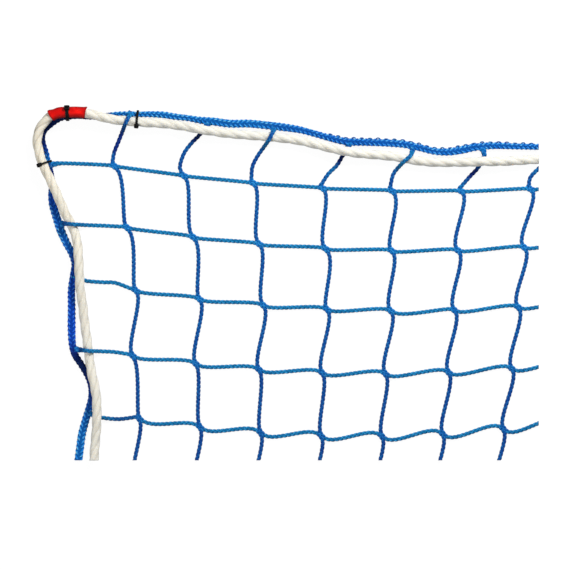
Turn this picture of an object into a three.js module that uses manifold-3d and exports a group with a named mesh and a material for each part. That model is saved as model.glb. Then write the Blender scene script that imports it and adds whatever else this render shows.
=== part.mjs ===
// A cut corner of a knotless fall arrest net, lying flat on the floor. The netting is knitted in one with
// a thick edge cord. A white border rope is threaded over and under the outermost twines, a red sleeve
// marks the corner of the rope, and three cable ties bind the rope to the edge cord.
// Millimetres. X runs along the upper edge, Y up the side edge and Z up from the floor.
import * as THREE from 'three';
import { mergeVertices } from 'three/addons/utils/BufferGeometryUtils.js';
import Module from 'manifold-3d';

const wasm = await Module();
wasm.setup();

// ---- Driving sizes ----
const TWINE = { width: 4.4, height: 4.4, sides: 6 };
const CORD = { width: 11.4, height: 6, sides: 8 };
const ROPE = { width: 14, height: 14, sides: 10 };
const JOINT = { length: 10.5, lane: 1.6 }; // two twines lie side by side in a joint, lane from its middle
const SLEEVE = { from: [-340, 241], to: [-291, 246], wall: 0.9, sides: 12 };
const TIE = { thickness: 1.2, slack: 0.65, corners: 24, head: { across: 4.2, around: 6, more: 2.6 } };
const GAP = 0.4; // between pieces that hold each other
const EVEN = 0.04; // corners this near to a plane are laid in it
const SETTLE = 0.03; // how far the undersides are pressed flat by the floor
const CUT = { right: 367, bottom: -257 }; // where the length was cut from the net
const SPAN = 1200; // a box this size holds everything

// Joints of the netting. Along a row, a joint's x is x + pitch c and its y is y - fall c + rise c c, for
// column c. tilt is the lie of its joints in degrees. across and down are how strongly the twines that run
// that way leave the joints in the joints' own direction, so slack twines lie in longer S curves. steps is
// the number of straight pieces in a twine that runs across.
const ROWS = [
  { x: -248, pitch: 100.5, y: 169.5, fall: 15.7, rise: 1.69, tilt: -32, across: 6, down: 30, steps: 4 },
  { x: -230, pitch: 96.0, y: 80.6, fall: 15.7, rise: 1.81, tilt: -36, across: 20, down: 30, steps: 5 },
  { x: -217, pitch: 92.4, y: -10.7, fall: 14.2, rise: 1.69, tilt: -38, across: 34, down: 36, steps: 6 },
  { x: -221.5, pitch: 91.6, y: -105.3, fall: 13.5, rise: 1.73, tilt: -39, across: 43, down: 34, steps: 6 },
  { x: -212, pitch: 88.0, y: -196.2, fall: 14.4, rise: 1.97, tilt: -41, across: 58, down: 34, steps: 6 },
  { x: -220, pitch: 87.0, y: -286.5, fall: 14.4, rise: 1.97, tilt: -41, across: 58, down: 34, steps: 6 },
];
const STEPS_DOWN = 6;
const LAST_ROW = 5; // this row and this column lie beyond the cuts, where their twines lead
const LAST_COLUMN = 7;
const ACROSS_TURN = 12; // degrees between a joint's lie and the twines that run across
const DOWN_TURN = -18; // and those that run down

// Twines whose middle lies aside from the even S curve.
const UNEVEN = [
  { runs: 'down', row: 0, column: 0, x: 3, y: 0 },
  { runs: 'down', row: 0, column: 4, x: 2, y: 0 },
  { runs: 'down', row: 1, column: 0, x: 3, y: 0 },
  { runs: 'down', row: 1, column: 1, x: 2.4, y: 0 },
  { runs: 'down', row: 1, column: 3, x: 3, y: 0 },
  { runs: 'down', row: 3, column: 0, x: 2, y: 0 },
  { runs: 'across', row: 2, column: 4, x: 0, y: -2.5 },
  { runs: 'across', row: 4, column: 0, x: 0, y: -1.5 },
];

// Twines from the edge cord to the first joints, as plan points from the cord inwards, each over or under
// the rope. The upper ones lead to the columns of the first row, the side ones to the first joint of a row.
const UPPER_TWINES = [
  { over: true, plan: [[-223, 248], [-229, 235], [-236, 220], [-242, 205], [-248, 190], [-250, 180]] },
  { over: false, plan: [[-111, 233], [-118, 223], [-126, 213], [-136, 203], [-147, 188], [-153, 169]] },
  { over: true, plan: [[-16, 227], [-19, 217], [-24, 207], [-32, 196], [-41, 183], [-48, 168]] },
  { over: false, plan: [[94, 204], [88, 193], [82, 183], [74, 170], [62, 158]] },
  { over: true, plan: [[185, 199], [182, 186], [173, 177], [164, 168], [156, 157]] },
  { over: false, plan: [[285, 196], [288, 184], [279, 167], [267, 154]] },
  { over: false, plan: [[381, 178], [366, 165], [355, 153]] },
];
const SIDE_TWINES = [
  { over: false, plan: [[-341, 171], [-327, 173.4], [-304, 173], [-278, 172], [-260, 171]] },
  { over: true, plan: [[-326, 86], [-309, 85], [-290, 84], [-263, 83], [-243, 82]] },
  { over: false, plan: [[-307, 11], [-292, 4], [-279, 2], [-263, 1], [-246, 0]] },
  { over: true, plan: [[-306, -96], [-286, -98], [-268, -99], [-248, -100]] },
  { over: false, plan: [[-286, -194], [-273, -195], [-263, -196], [-250, -197], [-237, -197]] },
];
const RIDE = { reach: 14, power: 3, clear: 1, steps: 14 }; // how a twine rises over the rope

// Centre line of the border rope, x, y and z, from its lower cut end round the corner to the right one.
const ROPE_ROUTE = [
  [-278, -265, 7.2], [-276, -236, 7.5], [-274, -215, 9.5], [-273, -195, 12.6], [-273, -174, 13],
  [-275, -154, 13.6], [-280, -132, 12.8], [-284, -109, 8.8], [-287, -86, 7.2], [-291, -57, 7],
  [-294, -30, 8], [-297, -10, 11], [-298, 6, 12.8], [-299, 28, 13.2], [-300, 44, 11.6], [-302, 61, 8.6],
  [-308, 80, 7.2], [-318, 99, 8], [-327, 120, 11.6], [-335, 138, 14], [-343, 155, 14.6],
  [-351, 172, 14.6], [-356, 187, 13], [-359, 202, 12.2], [-358, 216, 13.4], [-351, 230, 14.4],
  [-340, 241, 15.4], [-327, 246, 16.8], [-310, 247, 17.2], [-291, 246, 16], [-272, 242, 14],
  [-252, 237, 13], [-230, 234.6, 12], [-204, 232.4, 11.4], [-178, 231, 7.8], [-153, 228, 8.4],
  [-136, 225, 11.4], [-122, 222, 12.8], [-107, 220, 10.8], [-86, 217, 7.6], [-51, 214, 7], [-15, 211, 7],
  [17, 207, 7], [44, 201, 7.2], [67, 195, 9.8], [85, 191, 12.4], [104, 188, 10], [128, 186, 7.2],
  [159, 183, 7], [186, 178, 7], [215, 175, 7.2], [247, 175, 8.2], [269, 175, 11], [285, 176, 12.4],
  [302, 176, 10.6], [328, 177, 7.4], [376, 180, 7],
];

// Centre line of the edge cord, which the netting's outermost twines are knitted into, along the same way.
const CORD_ROUTE = [
  [-301, -265, 3], [-298, -241, 3], [-295, -219, 3], [-290, -200, 3], [-285, -183, 3], [-281, -167, 3],
  [-281, -151, 3], [-286, -135, 3], [-296, -118, 3], [-305, -104, 3], [-309, -87, 3], [-310, -61, 3],
  [-310, -32, 3], [-310, -9, 3], [-307, 12, 3], [-305, 28, 3], [-310, 44, 3], [-318, 59, 3],
  [-326, 77, 3], [-332, 96, 3], [-337, 113, 3], [-339, 129, 3], [-338, 144, 3], [-339, 155, 3.4],
  [-341, 166, 4.9], [-343.6, 176, 5.3], [-346, 188, 4.5], [-350, 200, 3.1], [-352, 211, 3],
  [-349, 221, 3], [-341, 229, 3], [-333, 235, 4], [-324, 239.5, 5.3], [-310, 241.5, 5.3], [-298, 242, 4],
  [-285, 241, 3],
  [-270, 241, 3], [-256, 243, 3], [-240, 244.6, 3.4], [-222, 244.6, 5.3], [-210, 244.4, 5.3],
  [-198, 244.6, 4.2], [-178, 243.8, 3], [-159, 241, 3], [-141, 239, 3], [-124, 236, 3], [-104, 234, 3],
  [-80, 231, 3], [-54, 231, 3], [-31, 229, 3], [-5, 226, 3], [21, 222, 3], [44, 216, 3], [65, 210, 3],
  [88, 205, 3], [117, 204, 3], [146, 203, 3], [172, 201, 3], [195, 196, 3], [215, 191, 3],
  [236, 190, 3], [256, 193, 3], [276, 197, 3], [302, 199, 3], [334, 198, 3], [376, 197, 3],
];

// Cable ties round the rope and the edge cord. width is the band's, head is the place of the head, in
// degrees from straight outwards over the top, and round is the width of what the band lies on.
const SLEEVED = ROPE.width + 2 * (GAP + SLEEVE.wall);
const TIES = [
  { name: 'tie_side', at: [-350.5, 172.8], width: 2.6, head: 45, round: ROPE.width },
  { name: 'tie_sleeve', at: [-317, 247], width: 4.4, head: 54, round: SLEEVED },
  { name: 'tie_top', at: [-216, 234.5], width: 3.4, head: 135, round: ROPE.width },
];

const COLOURS = {
  netting: { color: 0x1466b8, roughness: 0.75 },
  border_rope: { color: 0xe9e4d6, roughness: 0.8 },
  sleeve: { color: 0xd8141a, roughness: 0.35 },
  tie: { color: 0x17171a, roughness: 0.45 },
};

// ---- Solids ----
// A closed three.js geometry as a solid that can be joined and cut.
function solid(geometry) {
  geometry.deleteAttribute('normal');
  geometry.deleteAttribute('uv');
  const merged = mergeVertices(geometry);
  const mesh = new wasm.Mesh({
    numProp: 3,
    vertProperties: new Float32Array(merged.attributes.position.array),
    triVerts: new Uint32Array(merged.index.array),
  });
  return new wasm.Manifold(mesh);
}

// Everything between two corners.
function block(low, high) {
  const size = high.map((value, axis) => value - low[axis]);
  const geometry = new THREE.BoxGeometry(...size);
  geometry.translate(...low.map((value, axis) => value + size[axis] / 2));
  return solid(geometry);
}

// An oval of straight sides that stands on a flat one. Its height comes first, as a swept section needs.
function oval(width, height, sides) {
  const step = (2 * Math.PI) / sides;
  const angles = Array.from({ length: sides }, (_, i) => (i + 0.5) * step);
  const tallest = Math.max(...angles.map(Math.cos));
  const widest = Math.max(...angles.map(Math.sin));
  return new THREE.Shape(angles.map((angle) => {
    const up = ((height / 2) * Math.cos(angle)) / tallest;
    return new THREE.Vector2(up, ((width / 2) * Math.sin(angle)) / widest);
  }));
}

// A smooth curve through stations. A section swept along it is placed at exactly these stations.
class Route extends THREE.CatmullRomCurve3 {
  constructor(stations) {
    super(stations, false, 'catmullrom', 0.5);
  }

  getPointAt(u, target) {
    return this.getPoint(u, target);
  }

  getTangentAt(u, target) {
    return this.getTangent(u, target);
  }
}

// A section carried along stations.
function sweep(stations, { width, height, sides }, grow = 0) {
  const section = oval(width + 2 * grow, height + 2 * grow, sides);
  const way = { extrudePath: new Route(stations), steps: stations.length - 1, bevelEnabled: false };
  return solid(new THREE.ExtrudeGeometry(section, way));
}

// ---- Rope and edge cord ----
const ropeStations = ROPE_ROUTE.map(([x, y, z]) => new THREE.Vector3(x, y, z - SETTLE));
const cordStations = CORD_ROUTE.map(([x, y, z]) => new THREE.Vector3(x, y, z - SETTLE));
const ropeSamples = alongStations(ropeStations);
const cordSamples = alongStations(cordStations);

// Points along the straight pieces between stations.
function alongStations(stations) {
  const pieces = 16;
  return stations.slice(1).flatMap((end, i) => {
    return Array.from({ length: pieces }, (_, k) => stations[i].clone().lerp(end, k / pieces));
  });
}

// The number of the point nearest to a plan point.
function nearest(points, [x, y]) {
  const far = points.map((point) => Math.hypot(point.x - x, point.y - y));
  return far.indexOf(Math.min(...far));
}

// ---- Netting ----
const LYING = TWINE.height / 2 - SETTLE; // height of a twine's centre where it lies on the floor

function direction(degrees) {
  const angle = THREE.MathUtils.degToRad(degrees);
  return new THREE.Vector3(Math.cos(angle), Math.sin(angle), 0);
}

// Where a twine enters or leaves a joint. end is -1 at the joint's upper left end and 1 at its lower right
// one. lane is 1 for the upper right one of its two twines and -1 for the lower left one.
function anchor(row, column, end, lane) {
  const { x, pitch, y, fall, rise, tilt } = ROWS[row];
  const middleY = y - fall * column + rise * column ** 2;
  return new THREE.Vector3(x + pitch * column, middleY, LYING)
    .addScaledVector(direction(tilt), (end * JOINT.length) / 2)
    .addScaledVector(direction(tilt + 90), lane * JOINT.lane);
}

// An S curve between two anchors, which leaves and reaches them in the given directions.
function legCurve(start, startWay, finish, finishWay, aside) {
  const push = new THREE.Vector3(aside.x, aside.y, 0).divideScalar(0.75);
  const first = start.clone().addScaledVector(startWay, 1 / 3).add(push);
  const second = finish.clone().addScaledVector(finishWay, -1 / 3).add(push);
  return new THREE.CubicBezierCurve3(start, first, second, finish);
}

function unevenness(runs, row, column) {
  const found = UNEVEN.find((leg) => leg.runs === runs && leg.row === row && leg.column === column);
  return found ?? { x: 0, y: 0 };
}

// Points of a twine from one joint to the next one on its right.
function legAcross(row, column) {
  const { tilt, across, steps } = ROWS[row];
  const way = direction(tilt + ACROSS_TURN).multiplyScalar(across);
  const aside = unevenness('across', row, column);
  const end = anchor(row, column + 1, -1, -1);
  return legCurve(anchor(row, column, 1, 1), way, end, way, aside).getPoints(steps);
}

// Points of a twine from one joint to the next one below it.
function legDown(row, column) {
  const { tilt, down } = ROWS[row];
  const leaving = direction(tilt + DOWN_TURN).multiplyScalar(down);
  const reaching = direction(ROWS[row + 1].tilt + DOWN_TURN).multiplyScalar(down);
  const aside = unevenness('down', row, column);
  const end = anchor(row + 1, column, -1, 1);
  return legCurve(anchor(row, column, 1, -1), leaving, end, reaching, aside).getPoints(STEPS_DOWN);
}

// The height of a twine's centre that rides over the rope. It is highest on the rope's crown and falls with
// the distance d from the rope's line as exp(-(d / reach) ^ power), down to the floor.
function ridingHeight({ x, y }) {
  const crown = ropeSamples[nearest(ropeSamples, [x, y])];
  const distance = Math.hypot(crown.x - x, crown.y - y);
  const top = crown.z + ROPE.height / 2 + RIDE.clear + TWINE.height / 2;
  return LYING + (top - LYING) * Math.exp(-((distance / RIDE.reach) ** RIDE.power));
}

// Points of a twine from the edge cord, over or under the rope, to its first joint.
function legFromCord({ over, plan }, end) {
  const points = [...plan.map(([x, y]) => new THREE.Vector3(x, y, LYING)), end];
  const flat = new THREE.CatmullRomCurve3(points, false, 'catmullrom', 0.5);
  const stations = flat.getSpacedPoints(over ? RIDE.steps : STEPS_DOWN);
  if (over) {
    stations.forEach((station) => station.setZ(ridingHeight(station)));
  }
  const cord = cordSamples[nearest(cordSamples, plan[0])];
  stations[0].setZ(over ? cord.z + CORD.height / 2 : cord.z - (CORD.height - TWINE.height) / 2);
  return stations;
}

// A twine's whole way through the netting, as stairs: across to a joint, down to the next, across again. It
// starts with a leg from the edge cord and ends beyond a cut. Swept from there, it lies flat all the way.
function twine(edge, row, column, fromSide) {
  const stations = legFromCord(edge, anchor(row, column, -1, fromSide ? -1 : 1));
  let down = fromSide;
  while (row < LAST_ROW && column < LAST_COLUMN) {
    stations.push(...(down ? legDown(row, column) : legAcross(row, column)));
    row += down ? 1 : 0;
    column += down ? 0 : 1;
    down = !down;
  }
  return sweep(stations.reverse(), TWINE);
}

function nettingPieces() {
  const fromSide = SIDE_TWINES.map((edge, row) => twine(edge, row, 0, true));
  const fromTop = UPPER_TWINES.map((edge, column) => twine(edge, 0, column, false));
  return [sweep(cordStations, CORD), ...fromSide, ...fromTop];
}

const kept = block([-SPAN, CUT.bottom, 0], [CUT.right, SPAN, SPAN]);
const joined = nettingPieces().reduce((whole, piece) => whole.add(piece));
const netting = joined.intersect(kept).simplify(EVEN);

// ---- Border rope and sleeve ----
const rope = sweep(ropeStations, ROPE).intersect(kept);

// A tube that fits round the rope between two of its stations.
function sleeve() {
  const first = nearest(ropeStations, SLEEVE.from);
  const last = nearest(ropeStations, SLEEVE.to);
  const around = { width: ROPE.width, height: ROPE.height, sides: SLEEVE.sides };
  const outside = sweep(ropeStations.slice(first, last + 1), around, GAP + SLEEVE.wall);
  return outside.subtract(sweep(ropeStations, ROPE, GAP));
}

// ---- Cable ties ----
// The point of some ovals that lies furthest in a direction, and further by an offset.
function furthest(ovals, angle, offset) {
  const way = new THREE.Vector2(Math.cos(angle), Math.sin(angle));
  const points = ovals.map(({ centre, wide, tall }) => {
    const reach = Math.hypot(wide * way.x, tall * way.y);
    const point = new THREE.Vector2((wide ** 2 * way.x) / reach, (tall ** 2 * way.y) / reach);
    return point.add(centre);
  });
  points.sort((a, b) => b.dot(way) - a.dot(way));
  return points[0].addScaledVector(way, offset);
}

// The outline of a loop drawn tight round some ovals, at an offset from them.
function loopOutline(ovals, offset) {
  const step = (2 * Math.PI) / TIE.corners;
  return Array.from({ length: TIE.corners }, (_, i) => furthest(ovals, i * step, offset));
}

// A cable tie: a flat band round the rope and the edge cord, square to the rope, with its head on it.
function tie({ at, width, head, round }) {
  const number = nearest(ropeSamples, at);
  const place = ropeSamples[number];
  const along = ropeSamples[number + 2].clone().sub(ropeSamples[number - 2]).setZ(0).normalize();
  const outward = new THREE.Vector3(-along.y, along.x, 0);
  const cord = cordSamples[nearest(cordSamples, [place.x, place.y])];
  const ropeReach = round / 2 / Math.cos(Math.PI / ROPE.sides);
  const cordReach = 1 / Math.cos(Math.PI / CORD.sides);
  const ovals = [
    { centre: new THREE.Vector2(0, place.z), wide: ropeReach, tall: ropeReach },
    {
      centre: new THREE.Vector2(cord.clone().sub(place).dot(outward), cord.z),
      wide: (CORD.width / 2) * cordReach,
      tall: (CORD.height / 2) * cordReach,
    },
  ];
  const shape = new THREE.Shape(loopOutline(ovals, TIE.slack + TIE.thickness));
  shape.holes.push(new THREE.Path(loopOutline(ovals, TIE.slack)));
  const band = new THREE.ExtrudeGeometry(shape, { depth: width, bevelEnabled: false });
  band.translate(0, 0, -width / 2);
  const box = new THREE.BoxGeometry(TIE.head.across, TIE.head.around, width + TIE.head.more);
  const angle = THREE.MathUtils.degToRad(head);
  const seat = furthest(ovals, angle, TIE.slack + (TIE.thickness + TIE.head.across) / 2);
  box.rotateZ(angle);
  box.translate(seat.x, seat.y, 0);
  const frame = new THREE.Matrix4().makeBasis(outward, new THREE.Vector3(0, 0, 1), along);
  frame.setPosition(place.x, place.y, 0);
  return solid(band.applyMatrix4(frame)).add(solid(box.applyMatrix4(frame)));
}

// ---- The part ----
// A named mesh of a solid in its colour.
function meshOf(name, shape, look) {
  const { vertProperties, triVerts } = shape.getMesh();
  const geometry = new THREE.BufferGeometry();
  geometry.setAttribute('position', new THREE.BufferAttribute(new Float32Array(vertProperties), 3));
  geometry.setIndex(new THREE.BufferAttribute(new Uint32Array(triVerts), 1));
  geometry.computeVertexNormals();
  const material = new THREE.MeshStandardMaterial({ metalness: 0, ...look });
  const mesh = new THREE.Mesh(geometry, material);
  mesh.name = name;
  return mesh;
}

const part = new THREE.Group();
part.add(meshOf('netting', netting, COLOURS.netting));
part.add(meshOf('border_rope', rope, COLOURS.border_rope));
part.add(meshOf('sleeve', sleeve(), COLOURS.sleeve));
TIES.forEach((row) => part.add(meshOf(row.name, tie(row), COLOURS.tie)));

// The origin is on the floor, under the middle of the whole.
const bounds = new THREE.Box3().setFromObject(part);
const middle = bounds.getCenter(new THREE.Vector3());
part.position.set(-middle.x, -middle.y, -bounds.min.z);
part.updateMatrixWorld(true);

export default part;
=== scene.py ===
# %% [markdown]
# # A corner of a fall arrest net, step by step
#
# The object is a cut corner of a knotless safety net that lies flat on the floor. Blue twine runs in stairs
# from the edge cord through every joint, a white laid rope is threaded over and under the outermost twines,
# a red sleeve marks the corner of the rope, and three black cable ties bind the rope to the edge cord.
#
# The lesson shows how each of these is worked out as a surface with numpy and finished with nodes. The
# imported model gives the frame: its solids say where every piece lies and how large it is.

# %% Load the frame
from collections import namedtuple

import bpy
import numpy as np
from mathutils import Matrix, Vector


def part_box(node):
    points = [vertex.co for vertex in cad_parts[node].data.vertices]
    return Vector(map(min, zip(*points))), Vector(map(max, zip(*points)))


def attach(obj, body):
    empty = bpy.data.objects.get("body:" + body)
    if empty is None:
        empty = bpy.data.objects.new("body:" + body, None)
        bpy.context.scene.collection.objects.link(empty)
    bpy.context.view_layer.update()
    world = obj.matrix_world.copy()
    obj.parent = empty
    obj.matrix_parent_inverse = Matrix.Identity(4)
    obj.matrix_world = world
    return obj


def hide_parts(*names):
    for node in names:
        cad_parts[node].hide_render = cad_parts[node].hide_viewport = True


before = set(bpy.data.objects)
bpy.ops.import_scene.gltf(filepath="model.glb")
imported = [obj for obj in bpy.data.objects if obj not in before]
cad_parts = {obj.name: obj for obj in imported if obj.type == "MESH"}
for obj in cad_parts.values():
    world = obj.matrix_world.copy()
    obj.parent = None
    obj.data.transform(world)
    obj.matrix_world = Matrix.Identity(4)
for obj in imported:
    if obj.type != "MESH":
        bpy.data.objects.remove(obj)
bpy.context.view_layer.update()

# %% [markdown]
# ## Where the tables are measured from
#
# The tables below are in millimetres, measured from the middle of the net as it was drawn. The frame has its
# origin under the middle of the whole box, so the two differ by a small step. The cut edges of the netting
# are at known places in both, and that gives the step.

# %% Millimetres to the frame
MM = 0.001
CUT_RIGHT, CUT_BOTTOM = 367.0, -257.0  # where the length was cut from the net
netting_low, netting_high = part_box("netting")
DRAWN_FROM = np.array([netting_high.x - CUT_RIGHT * MM, netting_low.y - CUT_BOTTOM * MM, 0.0])
print("step from the drawing to the frame, in mm:", np.round(DRAWN_FROM / MM, 3))

# %% [markdown]
# ## Camera
#
# A net that lies on the floor is best seen from straight above. A long lens far away keeps the meshes at the
# edge as square as those in the middle.

# %% Camera
CAMERA_HEIGHT = 6.0
VIEW_WIDTH = 0.8265
VIEW_MIDDLE = (-0.0012, -0.00315)

camera = bpy.data.objects.new("camera", bpy.data.cameras.new("camera"))
bpy.context.collection.objects.link(camera)
camera.location = (*VIEW_MIDDLE, CAMERA_HEIGHT)
camera.data.sensor_width = 36.0
camera.data.lens = camera.data.sensor_width * CAMERA_HEIGHT / VIEW_WIDTH
camera.data.clip_end = 100.0
bpy.context.scene.camera = camera
bpy.context.scene.view_settings.view_transform = "Standard"
print("lens, in mm:", round(camera.data.lens, 1))

# %% [markdown]
# ## Two lamps and a pale room
#
# The main lamp stands beyond the upper right corner of the net. It is small enough to draw the edges of the
# plaits, and so far off that its light is nearly even over the net. A wide and weaker one from the lower left
# fills the shadows, and the room gives a little light from everywhere, as white walls do.


# %% Light
def soft_light(name, place, size, power):
    """A square lamp at a place, turned to face the middle of the floor."""
    lamp = bpy.data.lights.new(name, "AREA")
    lamp.size = size
    lamp.energy = power
    holder = bpy.data.objects.new(name, lamp)
    holder.location = place
    holder.rotation_mode = "QUATERNION"
    holder.rotation_quaternion = (-Vector(place)).to_track_quat("-Z", "Y")
    bpy.context.collection.objects.link(holder)


soft_light("main_light", (1.5, 2.3, 1.9), 0.9, 113.0)
soft_light("fill_light", (-2.4, -1.4, 2.2), 2.4, 50.0)

world = bpy.data.worlds.new("studio")
world.use_nodes = True
world.node_tree.nodes["Background"].inputs["Color"].default_value = (1.0, 1.0, 1.0, 1.0)
world.node_tree.nodes["Background"].inputs["Strength"].default_value = 0.30
bpy.context.scene.world = world
print("lamps:", [item.name for item in bpy.data.lights])

# %% [markdown]
# ## Nodes by name
#
# A finish is a small net of nodes. A few helpers keep each one readable: `fill` fills a node's inputs by
# name, with a number, a colour or another node's output, `node` places a node and fills it, and `finish`
# starts a material with its shader.


# %% Node helpers
def fill(tree, made, values):
    """Fills a node's inputs by name or number: an output is linked, and anything else is set."""
    for name, value in dict(values).items():
        if isinstance(value, bpy.types.NodeSocket):
            tree.links.new(value, made.inputs[name])
        else:
            made.inputs[name].default_value = value


def node(tree, kind, values=(), **settings):
    """A node of a kind with its settings, and its inputs filled with the values."""
    made = tree.nodes.new("ShaderNode" + kind)
    for name, value in settings.items():
        setattr(made, name, value)
    fill(tree, made, values)
    return made


def math_node(tree, operation, *values):
    """The result of one sum, such as MULTIPLY or SINE."""
    return node(tree, "Math", dict(enumerate(values)), operation=operation).outputs[0]


def mix_colours(tree, share, low, high):
    """A colour between low and high."""
    return node(tree, "Mix", {0: share, 6: low, 7: high}, data_type="RGBA").outputs[2]


def ramp(tree, value, low, high):
    """0 where the value is at or below low, 1 where it is at or above high, and smooth between."""
    made = node(tree, "MapRange", {0: value, 1: low, 2: high}, interpolation_type="SMOOTHSTEP")
    return made.outputs[0]


def relief(tree, height, strength, depth):
    """Light and shade as if the surface were raised by the height, up to a depth in metres."""
    return node(tree, "Bump", {"Height": height, "Strength": strength, "Distance": depth}).outputs[0]


def finish(name):
    """A new material, its node tree and its shader, which already stands there."""
    made = bpy.data.materials.new(name)
    made.use_nodes = True
    return made, made.node_tree, made.node_tree.nodes["Principled BSDF"]


def number_on(tree, name):
    """A number that a piece carries on its points."""
    return node(tree, "Attribute", attribute_name=name).outputs["Fac"]


def yarn_place(tree):
    """From the yarn map: the distance along a piece in metres, and the share of a turn round it."""
    return node(tree, "SeparateXYZ", {0: node(tree, "UVMap", uv_map="yarn").outputs[0]}).outputs[:2]


# %% [markdown]
# ## White card
#
# White card under soft light comes out grey, and grey takes the edge off thin blue twine. So the card glows,
# as on a light table, but only where the camera looks at it: it lights nothing from below. Its own dark and
# dull colour leaves room for that glow and keeps the shadows on it faint.

# %% Floor
FLOOR_SIZE = 12.0
half = FLOOR_SIZE / 2
card = bpy.data.meshes.new("floor")
card.from_pydata([(-half, -half, 0), (half, -half, 0), (half, half, 0), (-half, half, 0)], [], [(0, 1, 2, 3)])
floor = bpy.data.objects.new("floor", card)
bpy.context.collection.objects.link(floor)
floor_finish, tree, floor_shader = finish("white_card")
seen = node(tree, "LightPath").outputs["Is Camera Ray"]  # 1 where the camera looks, 0 for all other light
glow = mix_colours(tree, seen, (0.0, 0.0, 0.0, 1.0), (1.0, 1.0, 1.0, 1.0))
fill(tree, floor_shader, {"Base Color": (0.12, 0.12, 0.12, 1.0), "Roughness": 0.9, "Emission Color": glow,
                          "Emission Strength": 0.92})
card.materials.append(floor_finish)
print("floor:", FLOOR_SIZE, "m wide")

# %% [markdown]
# ## Lines that things follow
#
# Rope, cord and twine all follow a line on the floor. It is given by a few stations, like pins in a board,
# and a smooth line is drawn through them.

# %% Smooth lines
POINTS_BETWEEN = 24  # points worked out between two stations, before the line is spaced evenly


def at_marks(marks, along, values):
    """The points or directions of a line at other distances along it."""
    return np.stack([np.interp(marks, along, values[:, axis]) for axis in range(3)], axis=-1)


def evenly(points, step):
    """Points at even distances along a line of straight pieces, and their distances s from its start."""
    lengths = np.linalg.norm(np.diff(points, axis=0), axis=1)
    along = np.concatenate([[0.0], np.cumsum(lengths)])
    marks = np.linspace(0.0, along[-1], int(round(along[-1] / step)) + 1)
    return at_marks(marks, along, points), marks


def smooth_line(stations, step):
    """A smooth line through the stations. Its direction at a station is half the line from the station before
    to the one after. Between stations a and b with directions m and n, a point is
    (2t^3 - 3t^2 + 1) a + (t^3 - 2t^2 + t) m + (3t^2 - 2t^3) b + (t^3 - t^2) n, for t from 0 to 1."""
    stations = np.asarray(stations, float)
    beyond = 2 * stations[[0, -1]] - stations[[1, -2]]
    padded = np.vstack([beyond[:1], stations, beyond[1:]])
    directions = ((padded[2:] - padded[:-2]) / 2)[:, None]
    t = np.linspace(0.0, 1.0, POINTS_BETWEEN, endpoint=False)[None, :, None]
    points = (
        (2 * t**3 - 3 * t**2 + 1) * stations[:-1, None]
        + (t**3 - 2 * t**2 + t) * directions[:-1]
        + (3 * t**2 - 2 * t**3) * stations[1:, None]
        + (t**3 - t**2) * directions[1:]
    )
    return evenly(np.vstack([points.reshape(-1, 3), stations[-1:]]), step)


# %% [markdown]
# ## Tubes along a line
#
# At each point of a line three directions are known: the way it runs, its level side, and up. A strand is a
# tube carried along such a line. Two more helpers find the point of a line that is nearest to a place, and
# spread a table that says something at a few places over the whole line.


# %% Tubes and tables
def unit(vectors):
    """Each vector divided by its own length."""
    return vectors / np.linalg.norm(vectors, axis=-1, keepdims=True)


def bell(distance, reach, power=2):
    """exp(-(d / reach)^power): 1 at no distance, about a third at the reach, and nothing far off."""
    return np.exp(-((distance / reach) ** power))


def directions_of(points):
    """At each point: the way the line runs, its level side (Z x way) and up (way x side)."""
    way = unit(np.gradient(points, axis=0))
    side = unit(np.cross([0.0, 0.0, 1.0], way))
    return way, side, np.cross(way, side)


def nearest(points, place):
    """The number of the point nearest to a place in plan."""
    return int(np.argmin(np.hypot(points[:, 0] - place[0], points[:, 1] - place[1])))


def along_line(line, along, table):
    """The last column of a table whose rows start with a place, spread along a line."""
    marks = sorted((along[nearest(line, row)], row[-1]) for row in table)
    return np.interp(along, *zip(*marks))


def tube(points, level, width, height, sides):
    """A tube round a line: point + width/2 cos(a) across + height/2 sin(a) over, for angles a round it.
    across is the level direction made square to the way, and over = way x across."""
    way = unit(np.gradient(points, axis=0))
    across = unit(level - way * np.sum(level * way, axis=1, keepdims=True))
    over = np.cross(way, across)
    angles = 2 * np.pi * (np.arange(sides) + 0.5) / sides
    wide = np.broadcast_to(width, len(points))[:, None, None] / 2 * np.cos(angles)[None, :, None]
    tall = np.broadcast_to(height, len(points))[:, None, None] / 2 * np.sin(angles)[None, :, None]
    return points[:, None] + wide * across[:, None] + tall * over[:, None]


# %% [markdown]
# ## Cutting a length
#
# The corner was cut from a larger net, so every line runs on past the cut and is ended there. A hot knife
# leaves a flat face. Points beyond the cut are drawn back along their line onto the knife's plane, and the
# rings that lie wholly beyond it are dropped.

# %% Cutting helper
LEAST_SLOPE = 0.2  # a line that runs nearly along the cut is drawn back no further than this allows


def cut_to_length(rings, way):
    """Ends a tube at the cuts. A point that lies d beyond a cut moves by d / (way . outward) back along the
    way. Returns the rings that are left, and their numbers."""
    beyond_all = np.zeros(len(rings), bool)
    for axis, limit, outward in ((0, CUT_RIGHT, 1.0), (1, CUT_BOTTOM, -1.0)):
        beyond = np.maximum(outward * (rings[..., axis] - limit), 0.0)
        slope = outward * way[:, None, axis]
        slope = np.copysign(np.maximum(np.abs(slope), LEAST_SLOPE), slope)
        rings = rings - way[:, None] * (beyond / slope)[..., None]
        beyond_all |= (beyond > 0).all(axis=1)
    inside = ~beyond_all
    kept = inside.copy()
    kept[1:] |= inside[:-1]
    kept[:-1] |= inside[1:]
    numbers = np.flatnonzero(kept)
    return rings[numbers], numbers


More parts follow.
